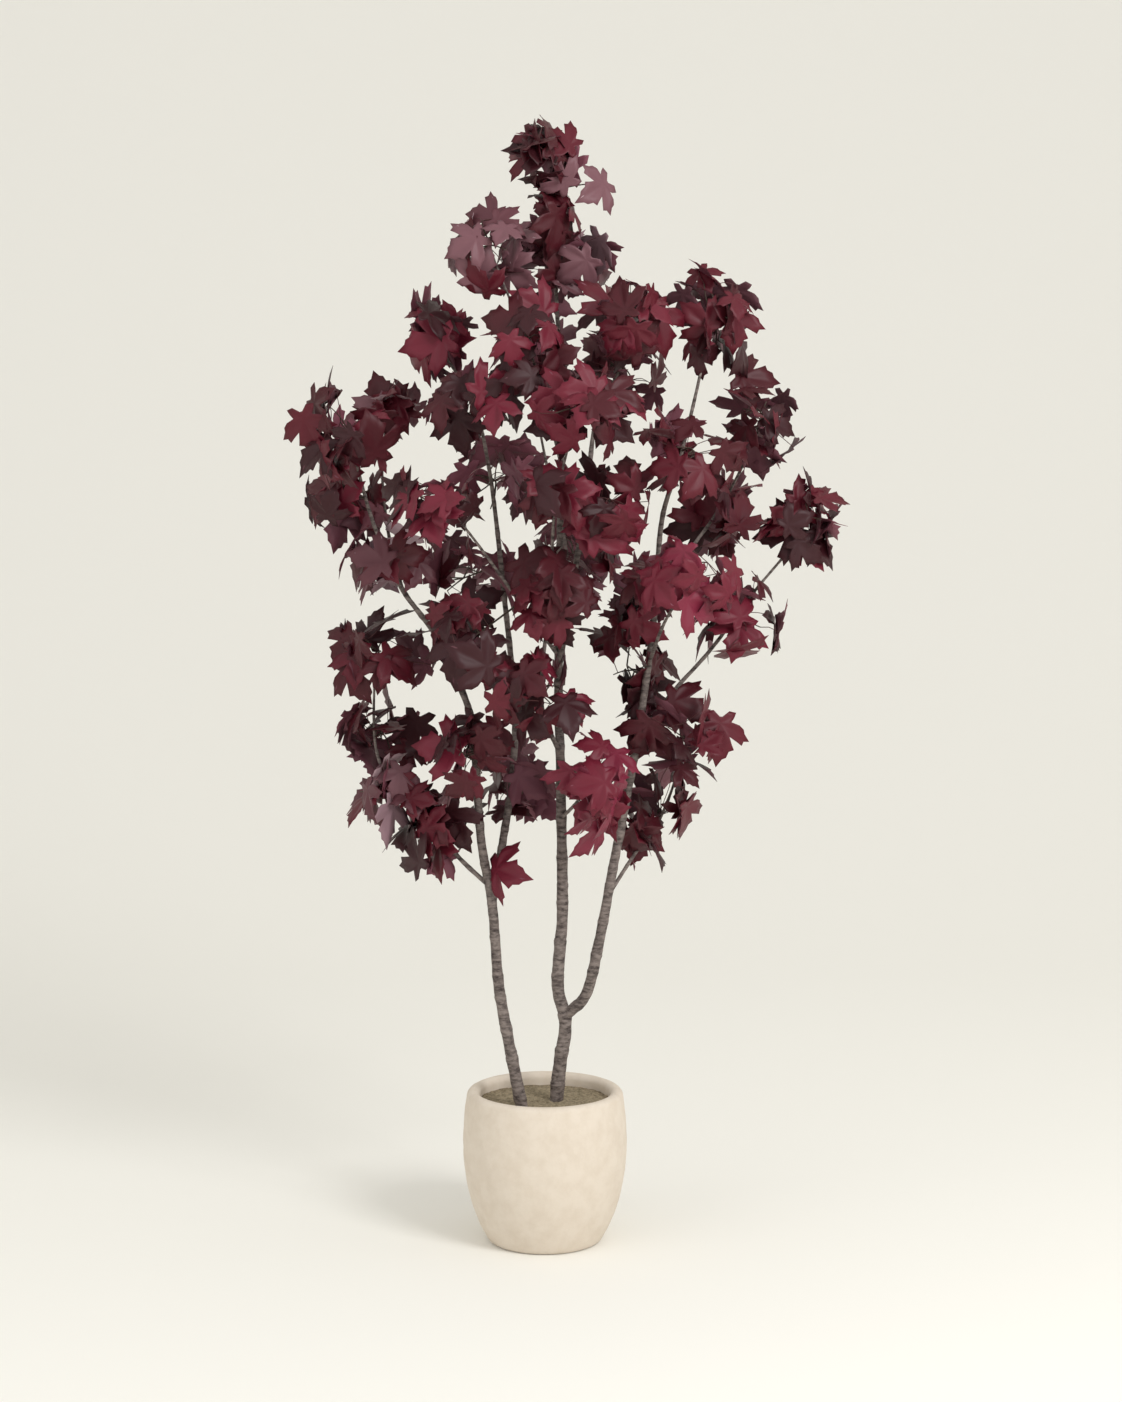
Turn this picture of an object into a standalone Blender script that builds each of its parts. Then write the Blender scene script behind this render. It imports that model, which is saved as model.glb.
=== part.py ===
# Potted artificial maple tree: a round stone-look pot, its soil, slender stems and
# boughs that rise from two feet, and the uneven masses of dark red foliage on them.
# Metres, +Z up, origin at the centre of the pot's flat underside, front towards -Y.

import math
import random

import bmesh
import bpy
from mathutils import Matrix, Vector

# Clearance between two solids that touch on the real tree, and how close a cut is made
GAP = 0.0003
CUT_ACCURACY = 1e-7

# Pot: an ellipse arc below the belly and a flatter one above it, turned about Z
POT_HEIGHT = 0.317
POT_BELLY_RADIUS = 0.168
POT_BELLY_HEIGHT = 0.205
POT_LOWER_ARC = 0.279
POT_UPPER_ARC = 0.329
POT_WALL = 0.026
POT_FLOOR = 0.030
POT_EDGE = 0.006
POT_SIDES = 28
POT_STEPS = 6

# Soil: filled to this height, 25 mm below the rim
SOIL_HEIGHT = 0.292

# Limbs: rings along a smooth route, with a straight taper and a flare at the foot
STEM_SIDES = 8
BOUGH_SIDES = 5
STEM_RING_SPACING = 0.105
BOUGH_RING_SPACING = 0.090
ROOTED = ("stem_centre", "stem_left")
FLARE = 0.0022
FLARE_REACH = 0.018
FLARE_RINGS = (0.0, 0.012, 0.030)

# Foliage: how uneven a mass is, and the growth that makes up for its flat facets
UNEVEN = 0.16
FACET_GROWTH = 1.02
BETWEEN_MASSES = 0.003

# Finishes, and the angles above which an edge is shown sharp
BARK_COLOUR = (0.215, 0.170, 0.150)
BARK_ROUGHNESS = 0.75
POT_COLOUR = (0.700, 0.610, 0.505)
POT_ROUGHNESS = 0.80
SOIL_COLOUR = (0.250, 0.200, 0.135)
SOIL_ROUGHNESS = 0.95
LEAF_ROUGHNESS = 0.60
SHARP_ANGLE = 40
SHARP_ANGLE_OF_MASS = 25
LEAF_DARK = (0.048, 0.010, 0.015)
LEAF_WINE = (0.105, 0.018, 0.030)
LEAF_PLUM = (0.090, 0.036, 0.045)

# Stems: name, base radius, tip radius, and the points that the stem runs through.
# The left and centre stems leave the soil; the others leave another stem.
STEMS = {
    "stem_centre": (0.0142, 0.0020, (
        (0.021, 0.010, 0.262), (0.030, 0.010, 0.361), (0.042, 0.010, 0.452), (0.027, 0.010, 0.525),
        (0.030, 0.010, 0.607), (0.036, 0.010, 0.698), (0.032, 0.000, 0.979), (0.028, 0.000, 1.173),
        (0.030, 0.000, 1.406), (0.035, 0.000, 1.706), (0.027, 0.010, 1.864), (0.020, 0.020, 2.002),
        (0.012, 0.010, 2.115), (0.004, 0.000, 2.200))),
    "stem_left": (0.0128, 0.0025, (
        (-0.042, -0.035, 0.262), (-0.068, -0.035, 0.397), (-0.093, -0.040, 0.540),
        (-0.106, -0.045, 0.709), (-0.128, -0.045, 0.845), (-0.144, -0.035, 1.061),
        (-0.166, -0.025, 1.145), (-0.215, -0.015, 1.250), (-0.285, -0.025, 1.350),
        (-0.335, -0.010, 1.460), (-0.365, -0.015, 1.560), (-0.385, -0.035, 1.660))),
    "stem_right": (0.0115, 0.0020, (
        (0.043, 0.010, 0.470), (0.084, -0.010, 0.517), (0.107, -0.025, 0.613),
        (0.125, -0.035, 0.711), (0.142, -0.035, 0.805), (0.164, -0.035, 0.922),
        (0.189, -0.025, 1.060), (0.213, -0.025, 1.234), (0.223, -0.025, 1.331),
        (0.234, -0.035, 1.489), (0.270, -0.070, 1.620), (0.310, -0.045, 1.787),
        (0.334, -0.025, 1.930))),
    "stem_inner_left": (0.0085, 0.0022, (
        (-0.106, -0.045, 0.712), (-0.084, 0.000, 0.839), (-0.067, 0.055, 0.950),
        (-0.062, 0.115, 1.100), (-0.085, 0.145, 1.330), (-0.100, 0.125, 1.480),
        (-0.115, 0.070, 1.600), (-0.140, -0.010, 1.720), (-0.190, 0.010, 1.800),
        (-0.225, 0.045, 1.850))),
    "stem_inner_right": (0.0070, 0.0022, (
        (0.029, 0.000, 1.190), (0.051, -0.045, 1.333), (0.077, -0.090, 1.490),
        (0.088, -0.070, 1.584), (0.105, 0.035, 1.690), (0.150, 0.100, 1.780),
        (0.166, 0.010, 1.850), (0.170, -0.080, 1.905))),
}

# Boughs: base radius, tip radius, and route; each starts inside the stem that bears it
BOUGHS = {
    "bough_low_left": (0.0050, 0.0020, (
        (-0.113, -0.045, 0.750), (-0.170, -0.025, 0.800), (-0.225, 0.000, 0.860),
        (-0.300, 0.010, 0.930), (-0.345, 0.055, 1.020), (-0.345, 0.045, 1.200))),
    "bough_left_crest": (0.0040, 0.0020, (
        (-0.285, -0.025, 1.350), (-0.315, 0.055, 1.450), (-0.330, 0.105, 1.570),
        (-0.322, 0.145, 1.690))),
    "bough_left_front": (0.0045, 0.0020, (
        (0.029, 0.000, 1.210), (-0.060, -0.125, 1.350), (-0.140, -0.205, 1.470),
        (-0.190, -0.250, 1.535))),
    "bough_upper_left": (0.0042, 0.0018, (
        (0.033, 0.000, 1.600), (0.000, -0.090, 1.740), (-0.040, -0.135, 1.860),
        (-0.085, -0.100, 1.970), (-0.110, -0.090, 2.040))),
    "bough_centre_front": (0.0048, 0.0020, (
        (0.032, 0.000, 1.010), (0.000, -0.090, 1.100), (-0.006, -0.135, 1.180),
        (0.012, -0.145, 1.350), (0.022, -0.215, 1.530), (0.060, -0.270, 1.700))),
    "bough_centre_back": (0.0045, 0.0020, (
        (0.029, 0.000, 1.270), (0.045, 0.135, 1.400), (0.000, 0.215, 1.600),
        (-0.030, 0.250, 1.755))),
    "bough_front_low": (0.0040, 0.0020, (
        (0.033, 0.000, 0.880), (0.065, -0.070, 0.925), (0.095, -0.135, 0.985),
        (0.105, -0.170, 1.040))),
    "bough_right_low": (0.0042, 0.0020, (
        (0.127, -0.035, 0.725), (0.180, 0.010, 0.800), (0.235, 0.055, 0.870),
        (0.270, 0.035, 0.970), (0.282, 0.000, 1.060))),
    "bough_far_right": (0.0048, 0.0020, (
        (0.188, -0.025, 1.050), (0.260, 0.000, 1.140), (0.335, 0.000, 1.225),
        (0.420, 0.000, 1.340), (0.500, -0.010, 1.440), (0.525, -0.025, 1.495))),
    "bough_right_front": (0.0040, 0.0020, (
        (0.208, -0.025, 1.195), (0.235, -0.135, 1.290), (0.275, -0.225, 1.375),
        (0.285, -0.260, 1.410))),
    "bough_right_back": (0.0046, 0.0020, (
        (0.222, -0.025, 1.320), (0.290, 0.090, 1.410), (0.355, 0.170, 1.490),
        (0.410, 0.135, 1.600), (0.440, 0.070, 1.700))),
}

# Foliage masses: centre, half sizes along X, Y and Z, lean about Y in degrees, colour
MASSES = {
    "foliage_top": ((0.000, 0.000, 2.195), (0.054, 0.060, 0.070), 0, LEAF_DARK),
    "foliage_top_neck": ((0.018, 0.015, 2.075), (0.060, 0.095, 0.080), 0, LEAF_WINE),
    "foliage_upper_left": ((-0.110, -0.085, 2.035), (0.080, 0.115, 0.088), 0, LEAF_PLUM),
    "foliage_upper_mid": ((0.035, 0.085, 1.970), (0.110, 0.140, 0.064), 0, LEAF_PLUM),
    "foliage_right_shoulder": ((0.165, -0.120, 1.895), (0.078, 0.135, 0.095), 0, LEAF_DARK),
    "foliage_right_shoulder_back": ((0.155, 0.170, 1.785), (0.095, 0.145, 0.085), 0, LEAF_WINE),
    "foliage_centre_upper": ((-0.030, -0.175, 1.840), (0.090, 0.130, 0.082), 0, LEAF_DARK),
    "foliage_left_shoulder": ((-0.220, 0.070, 1.840), (0.060, 0.130, 0.095), 0, LEAF_WINE),
    "foliage_centre_left": ((-0.130, -0.125, 1.715), (0.108, 0.165, 0.082), 0, LEAF_DARK),
    "foliage_centre_face": ((0.080, -0.290, 1.715), (0.108, 0.130, 0.066), 0, LEAF_PLUM),
    "foliage_centre_back": ((-0.030, 0.290, 1.745), (0.115, 0.155, 0.095), 0, LEAF_WINE),
    "foliage_left_crest": ((-0.318, 0.160, 1.700), (0.055, 0.100, 0.046), 0, LEAF_PLUM),
    "foliage_left_upper": ((-0.392, -0.060, 1.660), (0.085, 0.135, 0.105), 20, LEAF_DARK),
    "foliage_left_mid": ((-0.390, 0.045, 1.525), (0.105, 0.145, 0.062), 0, LEAF_WINE),
    "foliage_left_inner": ((-0.205, -0.255, 1.545), (0.078, 0.135, 0.064), 0, LEAF_DARK),
    "foliage_inner_left": ((-0.110, 0.205, 1.550), (0.085, 0.165, 0.100), 0, LEAF_WINE),
    "foliage_centre_mid": ((0.020, -0.245, 1.545), (0.076, 0.115, 0.082), 0, LEAF_WINE),
    "foliage_right_centre": ((0.135, -0.155, 1.525), (0.094, 0.160, 0.102), 0, LEAF_PLUM),
    "foliage_right_tower": ((0.336, -0.025, 1.875), (0.084, 0.115, 0.135), 0, LEAF_WINE),
    "foliage_right_inner": ((0.300, -0.125, 1.635), (0.095, 0.160, 0.094), 0, LEAF_DARK),
    "foliage_right_outer": ((0.440, 0.045, 1.690), (0.074, 0.135, 0.105), 0, LEAF_DARK),
    "foliage_right_mid": ((0.365, 0.225, 1.480), (0.100, 0.160, 0.088), 0, LEAF_DARK),
    "foliage_far_right": ((0.522, -0.025, 1.485), (0.074, 0.115, 0.090), 0, LEAF_WINE),
    "foliage_right_lower": ((0.390, 0.000, 1.285), (0.120, 0.120, 0.066), -42, LEAF_DARK),
    "foliage_right_face": ((0.285, -0.265, 1.395), (0.098, 0.140, 0.068), 0, LEAF_WINE),
    "foliage_right_heart": ((0.170, -0.060, 1.345), (0.076, 0.135, 0.078), 0, LEAF_PLUM),
    "foliage_right_low_inner": ((0.165, 0.090, 1.170), (0.085, 0.170, 0.105), 0, LEAF_DARK),
    "foliage_centre_low": ((0.015, -0.155, 1.355), (0.070, 0.125, 0.088), 0, LEAF_DARK),
    "foliage_centre_back_low": ((0.060, 0.245, 1.400), (0.115, 0.145, 0.105), 0, LEAF_DARK),
    "foliage_left_wing": ((-0.320, -0.055, 1.410), (0.098, 0.160, 0.062), 0, LEAF_PLUM),
    "foliage_left_low_inner": ((-0.170, 0.215, 1.350), (0.120, 0.170, 0.095), 0, LEAF_DARK),
    "foliage_left_low": ((-0.340, 0.025, 1.215), (0.100, 0.160, 0.085), 0, LEAF_DARK),
    "foliage_left_heart": ((-0.150, -0.125, 1.260), (0.086, 0.165, 0.090), 0, LEAF_WINE),
    "foliage_left_low_tail": ((-0.330, 0.095, 1.040), (0.074, 0.125, 0.088), 0, LEAF_WINE),
    "foliage_centre_low_face": ((-0.010, -0.170, 1.160), (0.115, 0.135, 0.072), 0, LEAF_WINE),
    "foliage_low_left_face": ((-0.150, -0.115, 1.025), (0.076, 0.125, 0.084), 0, LEAF_PLUM),
    "foliage_bottom_left": ((-0.320, -0.025, 0.930), (0.098, 0.115, 0.046), 0, LEAF_PLUM),
    "foliage_bottom_left_big": ((-0.220, -0.005, 0.845), (0.080, 0.125, 0.092), 0, LEAF_DARK),
    "foliage_low_mid": ((-0.050, 0.160, 0.940), (0.095, 0.160, 0.090), 0, LEAF_DARK),
    "foliage_bottom_centre": ((0.105, -0.175, 0.985), (0.076, 0.130, 0.132), 0, LEAF_WINE),
    "foliage_right_low": ((0.280, -0.040, 1.060), (0.092, 0.145, 0.078), 0, LEAF_DARK),
    "foliage_bottom_right": ((0.232, 0.085, 0.870), (0.088, 0.135, 0.098), 0, LEAF_DARK),
}


def clear_scene():
    for thing in list(bpy.data.objects):
        bpy.data.objects.remove(thing, do_unlink=True)


def material(name, colour, roughness):
    finish = bpy.data.materials.new(name)
    finish.use_nodes = True
    shader = finish.node_tree.nodes["Principled BSDF"]
    shader.inputs["Base Color"].default_value = (*colour, 1.0)
    shader.inputs["Roughness"].default_value = roughness
    shader.inputs["Metallic"].default_value = 0.0
    return finish


def new_object(name, mesh_data, finish=None):
    mesh = bpy.data.meshes.new(name)
    bmesh.ops.recalc_face_normals(mesh_data, faces=mesh_data.faces)
    mesh_data.to_mesh(mesh)
    mesh_data.free()
    thing = bpy.data.objects.new(name, mesh)
    bpy.context.collection.objects.link(thing)
    if finish:
        mesh.materials.append(finish)
    return thing


def shade(thing, angle=SHARP_ANGLE):
    thing.data.shade_smooth()
    thing.data.set_sharp_from_angle(angle=math.radians(angle))


# Pot and soil

def pot_radius(height):
    arc = POT_LOWER_ARC if height < POT_BELLY_HEIGHT else POT_UPPER_ARC
    share = (height - POT_BELLY_HEIGHT) / arc
    return POT_BELLY_RADIUS * math.sqrt(1.0 - share * share)


def heights(low, high, steps):
    return [low + (high - low) * step / steps for step in range(steps + 1)]


def turned(profile, sides):
    """A closed body turned about Z from (radius, height) points, whose ends lie on the axis."""
    mesh_data = bmesh.new()
    rings = []
    for radius, height in profile:
        if radius == 0.0:
            rings.append([mesh_data.verts.new((0.0, 0.0, height))])
            continue
        angles = [2.0 * math.pi * side / sides for side in range(sides)]
        rings.append([mesh_data.verts.new((radius * math.cos(a), radius * math.sin(a), height))
                      for a in angles])
    for lower, upper in zip(rings, rings[1:]):
        for side in range(sides):
            after = (side + 1) % sides
            if len(lower) == 1:
                corners = (lower[0], upper[after], upper[side])
            elif len(upper) == 1:
                corners = (lower[side], lower[after], upper[0])
            else:
                corners = (lower[side], lower[after], upper[after], upper[side])
            mesh_data.faces.new(corners)
    return mesh_data


def pot_inside():
    """The pot's inner wall from rim to floor, as (radius, height) points."""
    return [(pot_radius(h) - POT_WALL, h)
            for h in heights(POT_HEIGHT - POT_EDGE, POT_FLOOR + POT_EDGE, POT_STEPS)]


def build_pot():
    outside = [(pot_radius(h), h) for h in heights(POT_EDGE, POT_HEIGHT - POT_EDGE, POT_STEPS)]
    lip = pot_radius(POT_HEIGHT)
    foot = pot_radius(0.0) - POT_EDGE
    well = pot_radius(POT_FLOOR) - POT_WALL - POT_EDGE
    profile = [(0.0, 0.0), (foot, 0.0)] + outside
    profile += [(lip - POT_EDGE, POT_HEIGHT), (lip - POT_WALL + POT_EDGE, POT_HEIGHT)]
    profile += pot_inside() + [(well, POT_FLOOR), (0.0, POT_FLOOR)]
    pot = new_object("pot", turned(profile, POT_SIDES),
                     material("pot", POT_COLOUR, POT_ROUGHNESS))
    shade(pot)


def build_soil():
    """The soil fills the pot: its side is straight between the same rings as the wall."""
    wall = list(reversed(pot_inside()))
    buried = [point for point in wall if point[1] < SOIL_HEIGHT]
    low, high = buried[-1], wall[len(buried)]
    share = (SOIL_HEIGHT - low[1]) / (high[1] - low[1])
    top = (low[0] + (high[0] - low[0]) * share, SOIL_HEIGHT)
    clear = GAP / math.cos(math.pi / POT_SIDES)
    side = [(radius - clear, height) for radius, height in buried + [top]]
    well = pot_radius(POT_FLOOR) - POT_WALL - POT_EDGE - clear
    floor = POT_FLOOR + GAP
    profile = [(0.0, floor), (well, floor)] + side + [(0.0, SOIL_HEIGHT)]
    soil = new_object("soil", turned(profile, POT_SIDES),
                      material("soil", SOIL_COLOUR, SOIL_ROUGHNESS))
    shade(soil)


# Limbs

def smooth_route(points, spacing):
    """Points of a smooth curve through the given ones, about one spacing apart."""
    stops = [Vector(point) for point in points]
    stops = [2.0 * stops[0] - stops[1]] + stops + [2.0 * stops[-1] - stops[-2]]
    route = []
    for before, start, end, after in zip(stops, stops[1:], stops[2:], stops[3:]):
        count = max(1, round((end - start).length / spacing))
        for step in range(count):
            t = step / count
            route.append(0.5 * (2.0 * start + (end - before) * t
                                + (2.0 * before - 5.0 * start + 4.0 * end - after) * t * t
                                + (3.0 * start - before - 3.0 * end + after) * t ** 3))
    route.append(stops[-2])
    return route


def limb_radii(route, base, tip, rooted):
    lengths = [0.0]
    for start, end in zip(route, route[1:]):
        lengths.append(lengths[-1] + (end - start).length)
    radii = []
    for point, length in zip(route, lengths):
        radius = base + (tip - base) * length / lengths[-1]
        if rooted:
            above = max(0.0, point.z - SOIL_HEIGHT)
            radius += FLARE * math.exp(-above / FLARE_REACH)
        radii.append(radius)
    return radii


def limb_mesh(route, radii, sides, clearance):
    """A closed tube along a route. Clearance moves its faces out by that much all over."""
    mesh_data = bmesh.new()
    grown = clearance / math.cos(math.pi / sides)
    aim = (route[1] - route[0]).normalized()
    side_axis = aim.cross(Vector((0.0, 1.0, 0.0))).normalized()
    rings = []
    for index, point in enumerate(route):
        before = route[max(0, index - 1)]
        after = route[min(len(route) - 1, index + 1)]
        aim = (after - before).normalized()
        side_axis = (side_axis - aim * side_axis.dot(aim)).normalized()
        other_axis = aim.cross(side_axis)
        if index == len(route) - 1:
            point = point + aim * clearance
        ring = []
        for side in range(sides):
            angle = 2.0 * math.pi * side / sides
            spoke = side_axis * math.cos(angle) + other_axis * math.sin(angle)
            ring.append(mesh_data.verts.new(point + spoke * (radii[index] + grown)))
        rings.append(ring)
    for lower, upper in zip(rings, rings[1:]):
        for side in range(sides):
            after = (side + 1) % sides
            mesh_data.faces.new((lower[side], lower[after], upper[after], upper[side]))
    mesh_data.faces.new(list(reversed(rings[0])))
    mesh_data.faces.new(rings[-1])
    return mesh_data


def add_ring_at_soil(route):
    """Rooted stems get close rings at the soil, for their flare."""
    start, end = route[0], route[1]
    rise = (end - start) / (end.z - start.z)
    extra = [start + rise * (SOIL_HEIGHT + height - start.z) for height in FLARE_RINGS]
    return [start] + extra + route[1:]


def limb_tube(name, clearance=0.0):
    rooted = name in ROOTED
    if name in STEMS:
        base, tip, points = STEMS[name]
        sides, spacing = STEM_SIDES, STEM_RING_SPACING
    else:
        base, tip, points = BOUGHS[name]
        sides, spacing = BOUGH_SIDES, BOUGH_RING_SPACING
    route = smooth_route(points, spacing)
    if rooted:
        route = add_ring_at_soil(route)
    return limb_mesh(route, limb_radii(route, base, tip, rooted), sides, clearance)


def build_limbs(bark):
    """Each limb is cut back from the limbs made before it, so it is seated on its bearer."""
    limbs = {}
    for name in [*STEMS, *BOUGHS]:
        limb = new_object(name, limb_tube(name), bark)
        cut_flat(limb, Vector((0.0, 0.0, SOIL_HEIGHT + GAP)), Vector((0.0, 0.0, -1.0)))
        for other in limbs:
            if boxes_meet(limb, limbs[other]):
                carve(limb, limb_tube(other, GAP))
        keep_largest(limb)
        limbs[name] = limb
    for limb in limbs.values():
        shade(limb)
    return limbs


# Foliage

def mass_reach(name, direction):
    """How far a mass reaches from its centre along a direction."""
    _, half, lean, _ = MASSES[name]
    local = Matrix.Rotation(math.radians(-lean), 3, "Y") @ direction
    return math.sqrt(sum((size * part) ** 2 for size, part in zip(half, local)))


def mass_mesh(name, seed):
    centre, half, lean, _ = MASSES[name]
    rng = random.Random(seed)
    mesh_data = bmesh.new()
    bmesh.ops.create_icosphere(mesh_data, subdivisions=2, radius=FACET_GROWTH)
    bmesh.ops.rotate(mesh_data, verts=mesh_data.verts,
                     matrix=Matrix.Rotation(rng.uniform(0.0, math.pi), 3, "Z"))
    for vert in mesh_data.verts:
        vert.co *= 1.0 + rng.uniform(-UNEVEN, UNEVEN)
    place = Matrix.Translation(centre) @ Matrix.Rotation(math.radians(lean), 4, "Y")
    place = place @ Matrix.Diagonal((*half, 1.0))
    bmesh.ops.transform(mesh_data, matrix=place, verts=mesh_data.verts)
    return mesh_data


def share_space(name, mass):
    """Where two masses would meet, each stops at a flat face between them."""
    centre = Vector(MASSES[name][0])
    for other in MASSES:
        if other == name:
            continue
        apart = Vector(MASSES[other][0]) - centre
        distance = apart.length
        direction = apart / distance
        own = mass_reach(name, direction)
        theirs = mass_reach(other, direction)
        if (own + theirs) * FACET_GROWTH * (1.0 + UNEVEN) < distance:
            continue
        share = distance * own / (own + theirs) - BETWEEN_MASSES / 2.0
        cut_flat(mass, centre + direction * share, direction)


def build_masses(limbs):
    for seed, name in enumerate(MASSES):
        finish = material(name, MASSES[name][3], LEAF_ROUGHNESS)
        mass = new_object(name, mass_mesh(name, seed), finish)
        share_space(name, mass)
        for limb in limbs:
            if boxes_meet(mass, limbs[limb]):
                carve(mass, limb_tube(limb, GAP))
        keep_largest(mass)
        shade(mass, SHARP_ANGLE_OF_MASS)


# Cutting

def box_of(thing):
    corners = [Vector(vert.co) for vert in thing.data.vertices]
    low = [min(corner[axis] for corner in corners) for axis in range(3)]
    high = [max(corner[axis] for corner in corners) for axis in range(3)]
    return low, high


def boxes_meet(one, other):
    (low, high), (other_low, other_high) = box_of(one), box_of(other)
    return all(low[axis] < other_high[axis] + GAP and other_low[axis] < high[axis] + GAP
               for axis in range(3))


def cut_flat(thing, point, direction):
    """Takes away what lies past a plane, and closes the cut with a flat face."""
    mesh_data = bmesh.new()
    mesh_data.from_mesh(thing.data)
    everything = [*mesh_data.verts, *mesh_data.edges, *mesh_data.faces]
    bmesh.ops.bisect_plane(mesh_data, geom=everything, plane_co=point, plane_no=direction,
                           clear_outer=True, dist=CUT_ACCURACY)
    rim = [edge for edge in mesh_data.edges if edge.is_boundary]
    if rim:
        bmesh.ops.holes_fill(mesh_data, edges=rim, sides=0)
    bmesh.ops.recalc_face_normals(mesh_data, faces=mesh_data.faces)
    mesh_data.to_mesh(thing.data)
    mesh_data.free()


def carve(thing, cutter_mesh):
    """Cuts a closed shape out of an object and applies the cut."""
    cutter = new_object("cutter", cutter_mesh)
    cutter.hide_render = True
    cutter.display_type = "WIRE"
    cut = thing.modifiers.new("cut", "BOOLEAN")
    cut.operation = "DIFFERENCE"
    cut.solver = "EXACT"
    cut.object = cutter
    graph = bpy.context.evaluated_depsgraph_get()
    carved = bpy.data.meshes.new_from_object(thing.evaluated_get(graph))
    thing.modifiers.remove(cut)
    plain = thing.data
    thing.data = carved
    bpy.data.meshes.remove(plain)
    bpy.data.objects.remove(cutter, do_unlink=True)


def keep_largest(thing):
    """Drops the crumbs that a cut leaves beside the main body."""
    mesh_data = bmesh.new()
    mesh_data.from_mesh(thing.data)
    waiting = set(mesh_data.faces)
    islands = []
    while waiting:
        edge_of_island = [waiting.pop()]
        island = list(edge_of_island)
        while edge_of_island:
            face = edge_of_island.pop()
            for edge in face.edges:
                for near in edge.link_faces:
                    if near in waiting:
                        waiting.remove(near)
                        edge_of_island.append(near)
                        island.append(near)
        islands.append(island)
    islands.sort(key=lambda faces: sum(face.calc_area() for face in faces))
    crumbs = [face for island in islands[:-1] for face in island]
    bmesh.ops.delete(mesh_data, geom=crumbs, context="FACES")
    mesh_data.to_mesh(thing.data)
    mesh_data.free()


def main():
    clear_scene()
    build_pot()
    build_soil()
    limbs = build_limbs(material("bark", BARK_COLOUR, BARK_ROUGHNESS))
    build_masses(limbs)


main()
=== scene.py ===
# Looks of the potted artificial maple tree: bark-covered limbs, twigs and lobed leaves
# that grow on from them by a seeded rule, a stone-look pot and its soil.
# Metres, +Z up, front towards -Y.

import math
import random

import bpy
from mathutils import Matrix, Vector, noise


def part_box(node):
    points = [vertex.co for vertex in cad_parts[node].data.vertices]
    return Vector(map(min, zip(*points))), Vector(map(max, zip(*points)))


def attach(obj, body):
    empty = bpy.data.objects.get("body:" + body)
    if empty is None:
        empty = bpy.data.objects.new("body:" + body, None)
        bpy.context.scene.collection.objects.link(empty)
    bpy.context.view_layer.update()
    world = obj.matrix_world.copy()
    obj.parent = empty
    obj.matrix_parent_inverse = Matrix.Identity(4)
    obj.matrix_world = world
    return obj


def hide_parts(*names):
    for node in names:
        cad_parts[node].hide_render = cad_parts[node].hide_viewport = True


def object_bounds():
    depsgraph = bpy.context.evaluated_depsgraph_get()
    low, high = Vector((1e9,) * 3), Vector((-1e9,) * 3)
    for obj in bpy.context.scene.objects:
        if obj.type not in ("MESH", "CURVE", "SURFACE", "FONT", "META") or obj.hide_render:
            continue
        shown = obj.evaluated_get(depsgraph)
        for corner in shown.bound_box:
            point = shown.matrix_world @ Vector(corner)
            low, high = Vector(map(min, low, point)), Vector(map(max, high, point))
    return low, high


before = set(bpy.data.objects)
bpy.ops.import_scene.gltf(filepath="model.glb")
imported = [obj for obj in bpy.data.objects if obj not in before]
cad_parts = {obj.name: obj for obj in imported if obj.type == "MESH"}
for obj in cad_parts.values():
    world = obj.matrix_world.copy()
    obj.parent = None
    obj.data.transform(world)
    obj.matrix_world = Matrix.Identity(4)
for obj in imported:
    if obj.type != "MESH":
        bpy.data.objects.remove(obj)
CAD_BOX = [list(corner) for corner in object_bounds()]

SEED = 5

# Leaves: size, blade, stalk and the bearing of the veins in degrees
LEAF_SMALL = 0.064
LEAF_LARGE = 0.108
BLADE = 0.0006
STALK_RADIUS = 0.0009
RINGS_OF_LEAF = (0.36, 0.70, 1.0)
LEAF_HEART = (0.0, 0.12)
LEAF_MIDDLE = 0.42
VEINS = (-29.0, 22.0, 90.0)
VEIN_REACH = 30.0
CREASE = 0.120
WAVES = 5.0

# Limits of a leaf's own bend: along its length, across it, and its wavy rim
BENDS = {"droop": (0.02, 0.34), "wings": (-0.10, 0.38), "wave": (0.01, 0.05),
         "turn": (0.0, 360.0)}

# How a leaf is turned: shares of the way out of its mass and out from the stems, a steady
# pull towards the front and up or down, and the share of chance
FACE_FROM_MASS = 0.45
FACE_FROM_STEM = 0.55
FACE_PULL = (0.0, -0.25, 0.28)
FACE_SPREAD = 0.80
TIP_FROM_MASS = 0.45
TIP_FROM_STEM = 0.25
TIP_PULL = (0.0, 0.0, -0.35)
TIP_SPREAD = 0.75
NEAR_AXIS = 0.02
SHORTEST_WAY = 0.05

# Growth in a mass: how many leaves and shoots, and how far out they reach in it
LEAVES_IN_MASS = 15
LEAF_REACH = 0.90
LEAF_ATTEMPTS = 14
SMALLER_EACH_TIME = 0.03
ROOM_PAST_CAD = 0.025
SHOOTS_IN_MASS = 5
SHOOT_REACH = 0.62
INNERMOST = 0.35
SHARE_OF_DARK = 0.55
UPPER_LEAVES_FROM = 1.65
LOWEST_TWIG = 0.72

# Twigs and stalks: radius, sides, how they bow, and the shortest that are made
TWIG_RADIUS = 0.0017
MAIN_TWIG_GROWTH = 1.3
SHOOT_TAPER = 0.7
STALK_TAPER = 0.8
MAIN_SIDES = 7
SHOOT_SIDES = 6
STALK_SIDES = 5
BOW = 0.10
MAIN_LIFT = 0.010
SHOOT_LIFT = 0.004
STALK_LIFT = 0.003
SHORTEST_MAIN = 0.012
SHORTEST_SHOOT = 0.015
SHORTEST_STALK = 0.006
TWIG_RING_SPACING = 0.012
LIMB_SPOT_SPACING = 0.010

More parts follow.
